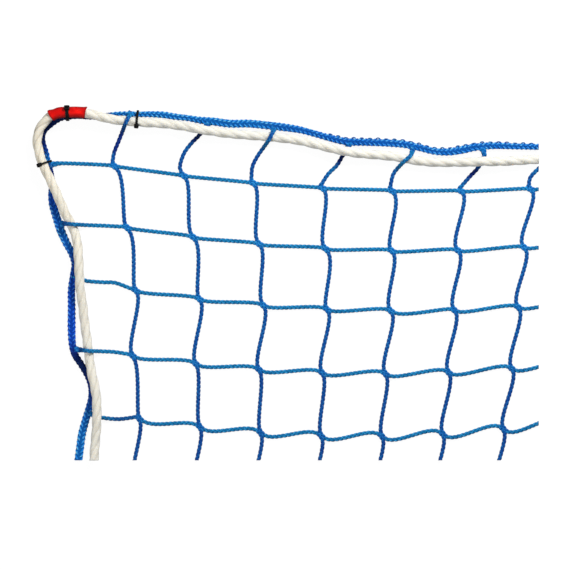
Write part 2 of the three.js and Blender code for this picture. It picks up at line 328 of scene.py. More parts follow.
# %% [markdown]
# ## From rings to a piece
#
# A skin is a grid of points: rings one after the other, each with the same number of places round it. Faces
# join every place to its neighbour in the ring and to the same place in the next ring, so the order of the
# corners is the same everywhere and all faces look outwards. The ends are closed by one face each, or the
# last ring is joined to the first. The UV map `yarn` holds metres along the line and turns round it, which
# is what a pattern of fibres needs. Other numbers, such as how near a joint is, are carried on the points.

# %% Piece helper
SHARP_FROM = np.radians(80)  # faces that meet at a larger angle than this keep a sharp edge


def skin(rings, along, closed=False, **numbers):
    """One skin of a piece, with its distances along the line in mm. Each of its numbers is one for the whole
    skin, one for each ring, or one for each point, and is spread over all points."""
    spread = {}
    for name, values in numbers.items():
        values = np.asarray(values, float)
        values = values[:, None] if values.ndim == 1 else values
        spread[name] = np.broadcast_to(values, rings.shape[:2]).ravel()
    return {"rings": rings, "along": np.asarray(along, float), "closed": closed, "numbers": spread}


def skin_faces(rings, places, closed):
    """Corners of the faces as (ring, place) pairs, in the order (i, j), (i, j+1), (i+1, j+1), (i+1, j)."""
    i, j = np.meshgrid(np.arange(rings if closed else rings - 1), np.arange(places), indexing="ij")
    ring = np.stack([i, i, i + 1, i + 1], axis=-1).reshape(-1, 4)
    place = np.stack([j, j + 1, j + 1, j], axis=-1).reshape(-1, 4)
    return ring, place


def make_piece(name, skins, material, stands_for):
    """Joins skins into one mesh in the frame, in metres, and hands it to the frame as a piece."""
    points, faces, yarn, smooth, first = [], [], [], [], 0
    numbers = {key: [] for key in skins[0]["numbers"]}
    for part in skins:
        rings, places = part["rings"].shape[:2]
        along = part["along"] * MM
        ring, place = skin_faces(rings, places, part["closed"])
        distance = np.append(along, 2 * along[-1] - along[-2])[ring]
        faces += (first + (ring % rings) * places + place % places).tolist()
        yarn.append(np.stack([distance, place / places], axis=-1).reshape(-1, 2))
        smooth += [True] * len(ring)
        if not part["closed"]:
            last = first + (rings - 1) * places
            faces += [list(range(first + places - 1, first - 1, -1)), list(range(last, last + places))]
            turns = np.arange(places) / places
            yarn.append(np.column_stack([np.full(places, along[0]), turns[::-1]]))
            yarn.append(np.column_stack([np.full(places, along[-1]), turns]))
            smooth += [False, False]
        points.append(part["rings"].reshape(-1, 3))
        for key, values in part["numbers"].items():
            numbers[key].append(values)
        first += rings * places
    mesh = bpy.data.meshes.new(name)
    mesh.from_pydata((np.vstack(points) * MM + DRAWN_FROM).tolist(), [], faces)
    mesh.polygons.foreach_set("use_smooth", smooth)
    mesh.uv_layers.new(name="yarn").data.foreach_set("uv", np.vstack(yarn).ravel())
    for key, values in numbers.items():
        mesh.attributes.new(key, "FLOAT", "POINT").data.foreach_set("value", np.concatenate(values))
    mesh.set_sharp_from_angle(angle=SHARP_FROM)
    mesh.materials.append(material)
    piece = bpy.data.objects.new(name, mesh)
    bpy.context.collection.objects.link(piece)
    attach(piece, "root")
    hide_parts(stands_for)
    print(f"{name}: {len(faces)} faces, {sum(len(face) - 2 for face in faces)} triangles")


# %% [markdown]
# ## The look of spun fibre
#
# Twine, cord and rope are all bundles of fine plastic fibres with a slight twist. One node group gives that
# grain to all three. It winds a noise round the yarn: the place round it becomes a point on a circle, so the
# pattern has no seam, and the distance along it is stretched, so each grain is a long fibre. A second,
# slower noise gives the patches of lighter and darker yarn that handling leaves.


# %% Fibre group
def fibre_group():
    """Height is noise at (R cos a, R sin a, Along x Per Metre + Seed), with a = 2 pi (Around + Twist x Along)
    and R = Fibres / 2 pi. Patches is the same with few, long grains."""
    tree = bpy.data.node_groups.new("spun_fibre", "ShaderNodeTree")
    sockets = {"Along": 0.0, "Around": 0.0, "Twist": 0.0, "Fibres": 20.0, "Per Metre": 100.0, "Seed": 0.0}
    for name, value in sockets.items():
        tree.interface.new_socket(name, in_out="INPUT", socket_type="NodeSocketFloat").default_value = value
    for name in ("Height", "Patches"):
        tree.interface.new_socket(name, in_out="OUTPUT", socket_type="NodeSocketFloat")
    given = tree.nodes.new("NodeGroupInput").outputs
    turns = math_node(tree, "MULTIPLY_ADD", given["Along"], given["Twist"], given["Around"])
    angle = math_node(tree, "MULTIPLY", turns, 2 * np.pi)
    cosine, sine = math_node(tree, "COSINE", angle), math_node(tree, "SINE", angle)
    radius = math_node(tree, "DIVIDE", given["Fibres"], 2 * np.pi)
    along = math_node(tree, "MULTIPLY_ADD", given["Along"], given["Per Metre"], given["Seed"])

    def wound_noise(circle, stretch, detail, roughness):
        """Noise at a point on a circle of a radius, with the distance along stretched."""
        at = node(tree, "CombineXYZ", {
            0: math_node(tree, "MULTIPLY", cosine, circle), 1: math_node(tree, "MULTIPLY", sine, circle),
            2: math_node(tree, "MULTIPLY", along, stretch)}).outputs[0]
        values = {"Vector": at, "Scale": 1.0, "Detail": detail, "Roughness": roughness}
        return node(tree, "TexNoise", values).outputs[0]

    fill(tree, tree.nodes.new("NodeGroupOutput"), {
        "Height": wound_noise(radius, 1.0, 2.0, 0.6), "Patches": wound_noise(0.5, 0.35, 3.0, 0.55)})
    return tree


spun_fibre = fibre_group()


def fibre_on(tree, twist, fibres, per_metre):
    """The fibre group placed in a material, fed by the yarn map and the strand's own number."""
    along, around = yarn_place(tree)
    values = {"Along": along, "Around": around, "Twist": twist, "Fibres": fibres, "Per Metre": per_metre,
              "Seed": number_on(tree, "strand")}
    return node(tree, "Group", values, node_tree=spun_fibre).outputs


print("group:", spun_fibre.name, [item.name for item in spun_fibre.interface.items_tree])

# %% [markdown]
# ## Blue yarn
#
# The netting and its edge cord are knitted from blue polypropylene yarn. Seen from above, the lengths that
# run across catch the light on their flank and look greener and lighter, and the lengths that run down look a
# deeper blue; this light and shade is painted in the colour. The pressed joints are a brighter blue. So the
# colour is mixed by `lie`, 0 across and 1 down, and by `bind`, 1 in a joint. Deep between the yarns a painted
# shade darkens them to navy, and on their backs a painted highlight lightens them in patches. A painted shade
# along the lengths darkens them beside and under the rope and the sleeve and lower on the net, and the end
# that a hot knife sealed is darker and smoother. Dyed plastic gives its gloss the colour of the dye.


# %% Blue yarn finish
# NAVY is the painted shade deep between the yarns, and also the dark of the grain and of a sealed end.
NAVY = (0.001, 0.007, 0.095, 1.0)
# Painted shade along the lengths.
SHADE_BLUE = (0.004, 0.008, 0.18, 1.0)
# The deepest painted shadow, beside and under the rope and the sleeve.
SHADOW_BLACK = (0.001, 0.001, 0.018, 1.0)


def blue_yarn(name, across, down, bound, crest_highlight, twist, fibres, per_metre, depth):
    """A blue yarn: across and down mixed by lie, bound by bind, a painted highlight on the backs of the yarns
    and painted navy shade between them, with fibres as relief."""
    material, tree, shader = finish(name)
    fibre = fibre_on(tree, twist, fibres, per_metre)
    # Painted light: lengths across are lighter and greener, lengths down a deeper blue.
    lie = ramp(tree, number_on(tree, "lie"), 0.1, 0.85)
    colour = mix_colours(tree, lie, across, down)
    colour = mix_colours(tree, number_on(tree, "bind"), colour, bound)
    hollow = number_on(tree, "hollow")
    patch = ramp(tree, fibre["Patches"], 0.35, 0.6)
    # Painted highlight: lighter patches on the backs of the yarns, less where a length runs down.
    on_back = math_node(tree, "SUBTRACT", 1.0, ramp(tree, hollow, 0.0, 0.3))
    painted_highlight = math_node(tree, "MULTIPLY", on_back, patch)
    painted_highlight = math_node(tree, "MULTIPLY", painted_highlight, math_node(tree, "MULTIPLY_ADD", lie, -0.35, 0.85))
    colour = mix_colours(tree, painted_highlight, colour, crest_highlight)
    # Painted shade along the lengths, and where it is deepest a painted shadow near black.
    soil = number_on(tree, "soil")
    colour = mix_colours(tree, ramp(tree, soil, 0.0, 0.8), colour, SHADE_BLUE)
    colour = mix_colours(tree, math_node(tree, "MULTIPLY", ramp(tree, soil, 0.6, 1.0), 0.8), colour, SHADOW_BLACK)
    # Painted shade deep between the yarns.
    colour = mix_colours(tree, math_node(tree, "MULTIPLY", ramp(tree, hollow, 0.2, 0.8), 0.9), colour, NAVY)
    grain = ramp(tree, fibre["Height"], 0.35, 0.65)
    dark = math_node(tree, "MULTIPLY_ADD", grain, -0.3, 0.3)
    sealed = number_on(tree, "sealed")
    dark = math_node(tree, "MAXIMUM", dark, math_node(tree, "MULTIPLY", sealed, 0.6))
    colour = mix_colours(tree, dark, colour, NAVY)
    rough = math_node(tree, "MULTIPLY_ADD", grain, 0.2, 0.42)
    rough = math_node(tree, "MULTIPLY_ADD", sealed, -0.2, rough)
    fill(tree, shader, {
        "Base Color": colour, "Roughness": rough, "Normal": relief(tree, fibre["Height"], 0.8, depth),
        "Specular IOR Level": 0.35, "Specular Tint": (0.2, 0.6, 1.0, 1.0)})
    return material


twine_finish = blue_yarn("blue_twine", (0.003, 0.162, 0.38, 1.0), (0.002, 0.070, 0.345, 1.0),
                         (0.003, 0.155, 0.54, 1.0), (0.04, 0.40, 0.80, 1.0),
                         twist=35.0, fibres=11.0, per_metre=260.0, depth=0.0004)
cord_finish = blue_yarn("blue_cord", (0.005, 0.235, 0.78, 1.0), (0.001, 0.084, 0.78, 1.0),
                        (0.003, 0.17, 0.62, 1.0), (0.24, 0.80, 1.0, 1.0),
                        twist=12.0, fibres=14.0, per_metre=200.0, depth=0.0005)
print("finishes:", twine_finish.name, cord_finish.name)

# %% [markdown]
# ## The border rope
#
# The rope leaves the right edge of the net, turns the corner and runs down its side. The stations say how it
# wanders, and where it is lifted by the twines and the cord that pass under it.

# %% Rope line
ROPE_ROUTE = [
    (-278, -265, 7.2), (-276, -236, 7.5), (-274, -215, 9.5), (-273, -195, 12.6), (-273, -174, 13),
    (-275, -154, 13.6), (-280, -132, 12.8), (-284, -109, 8.8), (-287, -86, 7.2), (-291, -57, 7),
    (-294, -30, 8), (-297, -10, 11), (-298, 6, 12.8), (-299, 28, 13.2), (-300, 44, 11.6), (-302, 61, 8.6),
    (-308, 80, 7.2), (-318, 99, 8), (-327, 120, 11.6), (-335, 138, 14), (-343, 155, 14.6),
    (-351, 172, 14.6), (-356, 187, 13), (-359, 202, 12.2), (-358, 216, 13.4), (-351, 230, 14.4),
    (-340, 241, 15.4), (-327, 246, 16.8), (-310, 247, 17.2), (-291, 246, 16), (-272, 242, 14),
    (-252, 237, 13), (-230, 234.6, 12), (-204, 232.4, 11.4), (-178, 231, 7.8), (-153, 228, 8.4),
    (-136, 225, 11.4), (-122, 222, 12.8), (-107, 220, 10.8), (-86, 217, 7.6), (-51, 214, 7), (-15, 211, 7),
    (17, 207, 7), (44, 201, 7.2), (67, 195, 9.8), (85, 191, 12.4), (104, 188, 10), (128, 186, 7.2),
    (159, 183, 7), (186, 178, 7), (215, 175, 7.2), (247, 175, 8.2), (269, 175, 11), (285, 176, 12.4),
    (302, 176, 10.6), (328, 177, 7.4), (376, 180, 7),
]
ROPE_STEP = 2.0
rope_line, rope_along = smooth_line(ROPE_ROUTE, ROPE_STEP)
print("rope:", len(rope_line), "points,", round(rope_along[-1]), "mm long")

# %% [markdown]
# ## Three strands in one outline
#
# The rope is laid: three strands are twisted round each other, so a cut through it shows three lobes, and
# they turn once in every lay. Three separate tubes would run into each other. The distance from the rope's
# middle to the outside of a strand has a short formula, so the three are one outline, which is turned a
# little from ring to ring and carried along the rope's line.

# %% Rope surface
ROPE_LAY = 66.0  # mm for one turn of the strands
STRAND_RADIUS = 5.2
STRAND_FROM_AXIS = 1.8
ROPE_PLACES = 54
ROPE_OFF_FLOOR = 0.05


def laid_rope(line, along):
    """Rings of a rope of three strands. With d the angle from a place to the nearest strand, a the strand's
    distance from the axis and r its radius, the surface lies a cos d + sqrt(r^2 - a^2 sin^2 d) out. Strand k
    is at the angle 2 pi (k / 3 + s / lay). hollow is 1 in the groove between strands and 0 on their backs."""
    way, side, up = directions_of(line)
    angle = 2 * np.pi * np.arange(ROPE_PLACES) / ROPE_PLACES
    turned = angle[None] - 2 * np.pi * along[:, None] / ROPE_LAY
    from_strand = (turned + np.pi / 3) % (2 * np.pi / 3) - np.pi / 3
    across = STRAND_FROM_AXIS * np.sin(from_strand)
    out = STRAND_FROM_AXIS * np.cos(from_strand) + np.sqrt(STRAND_RADIUS**2 - across**2)
    rings = (line[:, None] + (out * np.cos(angle))[..., None] * side[:, None]
             + (out * np.sin(angle))[..., None] * up[:, None])
    hollow = (out.max() - out) / (out.max() - out.min())
    return rings, way, hollow


rope_rings, rope_way, rope_hollow = laid_rope(rope_line, rope_along)
rope_rings, kept = cut_to_length(rope_rings, rope_way)
rope_rings[..., 2] = np.maximum(rope_rings[..., 2], ROPE_OFF_FLOOR)
print("rope widest, in mm:", round(2 * (STRAND_FROM_AXIS + STRAND_RADIUS), 1))

# %% [markdown]
# ## White rope finish
#
# The rope is undyed, a warm white. Painted shade greys the grooves where the strands meet, and makes the rope
# warmer and darker towards the corner.
# Its yarns run nearly straight along the rope on the backs of the strands, because they are twisted the
# other way than the strands. The grain therefore follows the rope itself and not the lay. White fibre isn't
# quite solid: light goes in, spreads a few millimetres and comes out again, which softens the grooves. The
# shader's subsurface does the same.

# %% Rope finish
# Painted shade on the rope at places along it, warmer and darker, most at the corner: x, y and the share, in
# between by straight lines.
ROPE_SHADE = [(-278, -265, 0.3), (-298, 6, 0.45), (-327, 120, 0.75), (-351, 172, 0.95), (-358, 216, 1.0),
             (-327, 246, 0.8), (-272, 242, 0.35), (-178, 231, 0.1), (376, 180, 0.1)]
rope_soil = along_line(rope_line, rope_along, ROPE_SHADE)

rope_finish, tree, shader = finish("white_rope")
fibre = fibre_on(tree, -3.0, 90.0, 45.0)
groove = ramp(tree, number_on(tree, "hollow"), 0.45, 1.0)
grain = ramp(tree, fibre["Height"], 0.3, 0.7)
soil = number_on(tree, "soil")
# Painted shade: the white turns a warmer, darker beige where the share is high.
colour = mix_colours(tree, soil, (0.84, 0.83, 0.77, 1.0), (0.87, 0.81, 0.68, 1.0))
# Darker patches at random, more where the painted shade is.
dull = math_node(tree, "MULTIPLY_ADD", soil, 0.35, 0.1)
dull = math_node(tree, "MULTIPLY", dull, ramp(tree, fibre["Patches"], 0.4, 0.75))
colour = mix_colours(tree, dull, colour, (0.62, 0.56, 0.44, 1.0))
colour = mix_colours(tree, math_node(tree, "MULTIPLY_ADD", grain, -0.2, 0.2), colour, (0.62, 0.58, 0.49, 1.0))
# Painted shade in the grooves, deeper where the rope's painted shade is more.
groove_shade = math_node(tree, "MULTIPLY", groove, math_node(tree, "MULTIPLY_ADD", soil, 0.3, 0.12))
colour = mix_colours(tree, groove_shade, colour, (0.45, 0.41, 0.33, 1.0))
fill(tree, shader, {
    "Base Color": colour, "Roughness": math_node(tree, "MULTIPLY_ADD", grain, 0.15, 0.55),
    "Normal": relief(tree, fibre["Height"], 0.7, 0.0008), "Specular IOR Level": 0.3,
    "Subsurface Weight": 0.7, "Subsurface Radius": (1.0, 0.95, 0.85), "Subsurface Scale": 0.006})

rope_skin = skin(rope_rings, rope_along[kept], hollow=rope_hollow[kept], strand=0.0, soil=rope_soil[kept])
make_piece("laid_rope", [rope_skin], rope_finish, "border_rope")

# %% [markdown]
# ## The edge cord
#
# The netting ends in a heavy flat cord, its hem. Like the rope it follows a line of stations, and it lies on
# the floor except near the corner, where the ties lift it a little. It is pulled narrow round the corner and
# lies wide on the straight lengths, so its width is a table along the line.

# %% Cord line and width
CORD_ROUTE = [
    (-301, -265, 3), (-298, -241, 3), (-295, -219, 3), (-290, -200, 3), (-285, -183, 3), (-281, -167, 3),
    (-281, -151, 3), (-286, -135, 3), (-296, -118, 3), (-305, -104, 3), (-309, -87, 3), (-310, -61, 3),
    (-310, -32, 3), (-310, -9, 3), (-307, 12, 3), (-305, 28, 3), (-310, 44, 3), (-318, 59, 3),
    (-326, 77, 3), (-332, 96, 3), (-337, 113, 3), (-339, 129, 3), (-338, 144, 3), (-339, 155, 3.4),
    (-341, 166, 4.9), (-343.6, 176, 5.3), (-346, 188, 4.5), (-350, 200, 3.1), (-352, 211, 3),
    (-349, 221, 3), (-341, 229, 3), (-333, 235, 4), (-324, 239.5, 5.3), (-310, 241.5, 5.3), (-298, 242, 4),
    (-285, 241, 3), (-270, 241, 3), (-256, 243, 3), (-240, 244.6, 3.4), (-222, 244.6, 5.3),
    (-210, 244.4, 5.3), (-198, 244.6, 4.2), (-178, 243.8, 3), (-159, 241, 3), (-141, 239, 3), (-124, 236, 3),
    (-104, 234, 3), (-80, 231, 3), (-54, 231, 3), (-31, 229, 3), (-5, 226, 3), (21, 222, 3), (44, 216, 3),
    (65, 210, 3), (88, 205, 3), (117, 204, 3), (146, 203, 3), (172, 201, 3), (195, 196, 3), (215, 191, 3),
    (236, 190, 3), (256, 193, 3), (276, 197, 3), (302, 199, 3), (334, 198, 3), (376, 197, 3),
]
# The cord's width in mm at places along it, x, y and width.
CORD_WIDTHS = [
    (-301, -265, 13), (-295, -219, 13), (-285, -183, 12), (-296, -118, 11), (-310, -61, 13), (-310, -9, 12),
    (-310, 44, 12), (-326, 77, 14), (-337, 113, 13), (-339, 140, 10), (-343, 176, 8), (-350, 200, 8),
    (-341, 229, 10), (-310, 241, 10), (-270, 241, 9), (-240, 245, 9), (-216, 245, 9), (-178, 244, 11),
    (-141, 239, 10), (-104, 234, 13), (-60, 231, 13), (-5, 226, 13), (30, 220, 11), (55, 213, 11),
    (88, 205, 12), (172, 201, 12), (215, 191, 11), (256, 193, 13), (334, 198, 10), (376, 197, 10),
]
CORD_STEP = 1.4
cord_line, cord_along = smooth_line(CORD_ROUTE, CORD_STEP)
cord_width = along_line(cord_line, cord_along, CORD_WIDTHS)
print("edge cord:", round(cord_along[-1]), "mm long,", cord_width.min(), "to", cord_width.max(), "mm wide")

# %% [markdown]
# ## Plaiting
#
# In a flat plait every strand swings from edge to edge and passes over and under the others in turn. Aside
# it moves as a sine, and up and down as a sine of twice the speed, which is a figure of eight carried along
# the line. Each strand follows a share of a turn behind the next. The same function plaits the five strands
# of the cord and the three yarns of a twine.


# %% Plaiting
def plait(line, along, count, turn, side_swing, up_swing, start=0.0):
    """The lines of a count of strands plaited along a line. With q = 2 pi (s / turn + k / count + start),
    strand k lies a (sin q - 0.08 sin 3q) / 1.08 aside and b sin 2q up, so that it turns back sharply."""
    way, side, up = directions_of(line)
    lines = []
    for k in range(count):
        q = 2 * np.pi * (along / turn + k / count + start)
        aside = side_swing * (np.sin(q) - 0.08 * np.sin(3 * q)) / 1.08
        lines.append(line + aside[:, None] * side + (up_swing * np.sin(2 * q))[:, None] * up)
    return lines


def depth_in(rings, line, half_width, half_height):
    """How deep a point lies in the oval outline of a cord: 0 on the outline and 1 halfway to its line."""
    _, side, up = directions_of(line)
    from_line = rings - line[:, None]
    aside = np.sum(from_line * side[:, None], axis=2) / np.broadcast_to(half_width, len(line))[:, None]
    above = np.sum(from_line * up[:, None], axis=2) / np.broadcast_to(half_height, len(line))[:, None]
    return np.clip(2.0 * (1.0 - np.hypot(aside, above)), 0.0, 1.0)


def sealed_near_cut(line, reach=4.0):
    """How much the knife's heat changed the line: (1 - d / reach)^2 at d mm from the nearer cut."""
    inside = np.minimum(CUT_RIGHT - line[:, 0], line[:, 1] - CUT_BOTTOM)
    return np.clip(1.0 - inside / reach, 0.0, 1.0) ** 2


def lie_of(line):
    """The share of the way that runs down the net: (y / length)^2."""
    way = unit(np.gradient(line, axis=0))
    return way[:, 1] ** 2


# %% [markdown]
# ## The edge cord's strands and core
#
# The cord is a plait of five strands, and each strand is two yarns laid round each other. A core fills the
# middle, so that no light shows between the strands. Where the cord is narrow it stands partly on edge, and
# its strands swing higher. The edge towards the net gets painted shade. Tables along the cord say where it
# gets painted shade and shadow, darkest beside and under the rope and the sleeve, where a length that runs
# down still catches the light, and where one across takes the deeper painted shade of one down.

# %% Edge cord surface
CORD_STRANDS, CORD_TURN = 5, 34.0
CORD_UP_SWING = 1.3
CORD_YARN = 1.05  # radius of each of the two yarns that make a strand
YARN_TURN = 9.0
YARN_ASIDE, YARN_ABOVE = 0.9, 0.3  # how far a yarn lies from its strand's middle
CORD_SIDES, CORE_SIDES = 8, 14
INNER_SHADE, INNER_REACH = 0.14, 4.0  # painted shade on the edge towards the net, and how far it reaches in
CORE_IN, CORE_HEIGHT = 0.9, 3.6  # the core's edge lies this far inside the cord's
# The core's fixed painted shade, as deep inside the cord.
CORE_SHADE = 0.55
YARN_OFF_FLOOR = 0.03
SEED_STEP = 7.3  # each yarn begins this far on in the noise, so that no two have the same grain
# Painted shade and shadow on the cord at places along it, darkest beside and under the rope and the sleeve:
# x, y and the share.
CORD_SHADE = [(-302, -265, 0.0), (-285, -183, 0.2), (-281, -150, 0.6), (-296, -118, 0.9), (-304, -104, 0.8),
             (-309, -80, 0.1), (-309, 0, 0.1), (-307, 25, 0.4), (-317, 59, 0.1), (-339, 125, 0.2),
             (-340, 160, 0.8), (-344, 178, 0.15), (-351, 200, 0.7), (-355, 209, 1.0), (-344, 220, 0.95),
             (-337, 227, 0.8), (-321, 238, 0.95), (-298, 241.5, 1.0), (-262, 243, 0.8), (-245, 245, 0.0),
             (-60, 233, 0.0), (0, 225, 0.15), (110, 200, 0.15), (215, 197, 0.05), (376, 195.6, 0.05)]
# Where a cord that runs down still catches the light as one across does, x, y and the share.
CORD_LIGHT = [(-302, -265, 1.0), (-290, -200, 0.7), (-281, -165, 0.25), (-309, -60, 0.15), (-309, 0, 0.0),
              (-317, 59, 0.5), (-325, 77, 0.6), (-339, 125, 0.25), (-344, 178, 0.9), (-351, 200, 0.0)]
# Where a cord that runs across takes the deeper painted shade of one down, x, y and the share.
CORD_DEEP = [(-351, 200, 0.0), (-80, 234, 0.0), (-10, 226, 0.3), (80, 206, 0.42), (215, 197, 0.32),
             (376, 195.6, 0.34)]
FLAT_WIDTH, WIDTH_ON_EDGE = 11.4, 7.0  # at this width the cord lies flat, and at this one it stands on edge
ON_EDGE_LIFT = 0.5

on_edge = np.clip((FLAT_WIDTH - cord_width) / (FLAT_WIDTH - WIDTH_ON_EDGE), 0.0, 1.0)
cord_up = CORD_UP_SWING + ON_EDGE_LIFT * on_edge
cord_lifted = cord_line + np.array([0.0, 0.0, 1.0]) * (cord_up - CORD_UP_SWING)[:, None]
cord_half_height = cord_up + YARN_ABOVE + CORD_YARN
cord_way, cord_side, cord_above = directions_of(cord_lifted)
cord_soil = along_line(cord_line, cord_along, CORD_SHADE)
cord_lie = lie_of(cord_line) * (1 - along_line(cord_line, cord_along, CORD_LIGHT))
cord_lie = np.maximum(cord_lie, along_line(cord_line, cord_along, CORD_DEEP))


def cord_skin(rings, number, hollow):
    """One skin of the cord with its numbers, ended at the cuts."""
    rings, kept = cut_to_length(rings, cord_way)
    rings[..., 2] = np.maximum(rings[..., 2], YARN_OFF_FLOOR)
    return skin(rings, cord_along[kept], strand=SEED_STEP * number, lie=cord_lie[kept], bind=0.0,
                soil=cord_soil[kept], hollow=hollow[kept], sealed=sealed_near_cut(cord_line)[kept])


rings = tube(cord_lifted, cord_side, cord_width - 2 * CORE_IN, CORE_HEIGHT, CORE_SIDES)
cord_skins = [cord_skin(rings, 0, np.full(rings.shape[:2], CORE_SHADE))]
cord_swing = cord_width / 2 - YARN_ASIDE - CORD_YARN
strand_lines = plait(cord_lifted, cord_along, CORD_STRANDS, CORD_TURN, cord_swing, cord_up)
for number in range(2 * CORD_STRANDS):
    strand, part = divmod(number, 2)
    p = 2 * np.pi * (cord_along / YARN_TURN + part / 2 + strand / CORD_STRANDS)
    centre = (strand_lines[strand] + (YARN_ASIDE * np.cos(p))[:, None] * cord_side
              + (YARN_ABOVE * np.sin(p))[:, None] * cord_above)
    rings = tube(centre, cord_side, 2 * CORD_YARN, 2 * CORD_YARN, CORD_SIDES)
    inward = -np.sum((rings - cord_lifted[:, None]) * cord_side[:, None], axis=2)
    hollow = depth_in(rings, cord_lifted, cord_width / 2, cord_half_height)
    # Painted shade deep in the cord, and more on the edge towards the net.
    hollow = hollow + INNER_SHADE * np.clip(inward / INNER_REACH, 0.0, 1.0)
    cord_skins.append(cord_skin(rings, number + 1, np.clip(hollow, 0.0, 1.0)))
make_piece("edge_cord", cord_skins, cord_finish, "netting")

# %% [markdown]
# ## Loops on the cord
#
# On the upper right small loops of the knitting yarn stand out of the outer edge, one at every stitch. Each
# is half a turn of thin yarn whose two ends lie inside the cord. Knitted loops are never equally high, so a
# sine of the loop's number changes the height a little.

# %% Loops on the cord
LOOPS_FROM, LOOPS_TO, LOOP_PITCH = (64, 208), (362, 196), 11.8
LOOP_YARN, LOOP_HALF_LENGTH = 1.0, 2.5
LOOP_HEIGHT, LOOP_UNEVEN = 1.0, 0.5
LOOP_ROOT, LOOP_ABOVE = 0.9, 0.7  # how far the ends lie inside the cord's edge, and above the cord's middle
LOOP_POINTS, LOOP_SIDES = 13, 8


def loop_skin(number, s):
    """A loop of yarn that stands out of the cord's outer edge at s. For t from 0 to 1 it lies at
    s - l cos(pi t) along, w/2 - root + h sin(pi t) aside, and a little above the middle."""
    t = np.linspace(0.0, 1.0, LOOP_POINTS)
    marks = s - LOOP_HALF_LENGTH * np.cos(np.pi * t)
    line, side = (at_marks(marks, cord_along, values) for values in (cord_lifted, cord_side))
    height = LOOP_HEIGHT + LOOP_UNEVEN * np.sin(2.4 * number)
    aside = np.interp(marks, cord_along, cord_width) / 2 - LOOP_ROOT + height * np.sin(np.pi * t)
    centre = line + aside[:, None] * side + [0.0, 0.0, LOOP_ABOVE]
    across = np.tile([0.0, 0.0, 1.0], (LOOP_POINTS, 1))
    rings = tube(centre, across, 2 * LOOP_YARN, 2 * LOOP_YARN, LOOP_SIDES)
    # The loops get a fixed painted shade.
    return skin(rings, marks, strand=float(number), lie=0.3, bind=0.0, soil=0.5, hollow=0.1, sealed=0.0)


first, last = (cord_along[nearest(cord_line, place)] for place in (LOOPS_FROM, LOOPS_TO))
loops = [loop_skin(number, s) for number, s in enumerate(np.arange(first, last, LOOP_PITCH))]
make_piece("edge_loops", loops, cord_finish, "netting")
print("loops on the cord:", len(loops))

# %% [markdown]
# ## The twines
#
# Each twine is a plait of three yarns and runs in stairs: across to a joint, down to the next, across again.
# In a joint two twines lie side by side and are knitted together. The joints of a row lie on a gentle curve,
# so a row needs no list of places: five numbers give them all. All joints lean the same way, and each row
# leans 5 degrees more than the one above it.

# %% Joints
# The first five numbers place the joints. tilt is their lean, in degrees from +X. across and down say how
# strongly the legs that leave them hold their direction: the larger, the deeper the S of the leg.
Row = namedtuple("Row", "x pitch y fall rise tilt across down")
ROWS = [
    Row(-248.0, 100.5, 169.5, 15.7, 1.69, -32, 6, 45),
    Row(-230.0, 96.0, 80.6, 15.7, 1.81, -37, 20, 45),
    Row(-217.0, 92.4, -10.7, 14.2, 1.69, -42, 34, 45),
    Row(-221.5, 91.6, -105.3, 13.5, 1.73, -47, 43, 45),
    Row(-212.0, 88.0, -196.2, 14.4, 1.97, -52, 58, 45),
    Row(-220.0, 87.0, -286.5, 14.4, 1.97, -57, 58, 45),
]
LAST_ROW, LAST_COLUMN = 5, 7  # these lie beyond the cuts, where their twines lead
JOINT_LENGTH, JOINT_LANE = 8.0, 1.6
YARN_RADIUS, SIDE_SWING, UP_SWING = 1.95, 1.35, 0.45
LYING = YARN_RADIUS + UP_SWING  # height of a twine's middle where it lies on the floor


def heading(degrees):
    """The level direction at an angle from +X."""
    return np.array([np.cos(np.radians(degrees)), np.sin(np.radians(degrees)), 0.0])


def joint_middle(row, column):
    """A row's joints lie at x + pitch c and y - fall c + rise c^2."""
    r = ROWS[row]
    return np.array([r.x + r.pitch * column, r.y - r.fall * column + r.rise * column**2, LYING])


def anchor(row, column, end, lane):
    """Where a twine enters (end -1) or leaves (1) a joint, in its upper right (lane 1) or lower left lane."""
    tilt = ROWS[row].tilt
    along = heading(tilt) * end * JOINT_LENGTH / 2
    return joint_middle(row, column) + along + heading(tilt + 90) * lane * JOINT_LANE


JOINTS = np.array([joint_middle(row, column)
                   for row in range(LAST_ROW + 1) for column in range(LAST_COLUMN + 1)])
print("joints in sight:", int(((JOINTS[:, 0] < CUT_RIGHT) & (JOINTS[:, 1] > CUT_BOTTOM)).sum()))

# %% [markdown]
# ## Legs between joints
#
# Each leg is a cubic curve that leaves one joint and reaches the next in a given direction, turned a little
# from the joint's own lean. Slack twine lies in an S, and such a curve makes one. A few legs of the real net
# lie less evenly than the rest, and a short table moves their middles aside.

# %% Legs between joints
ACROSS_TURN, DOWN_TURN = 12, -18  # degrees from a joint's lean to the legs that leave it
# How far the middle of a leg lies aside from its even S curve, in mm.
UNEVEN = {
    ("down", 0, 0): (3, 0), ("down", 0, 4): (2, 0), ("down", 1, 0): (3, 0), ("down", 1, 1): (2.4, 0),
    ("down", 1, 3): (3, 0), ("down", 3, 0): (2, 0), ("across", 2, 4): (0, -2.5), ("across", 4, 0): (0, -1.5),
}
LEG_POINTS = 14
MIDDLE_SHARE = 0.75  # the middle of a cubic curve moves this share of the way that its two inner pulls move


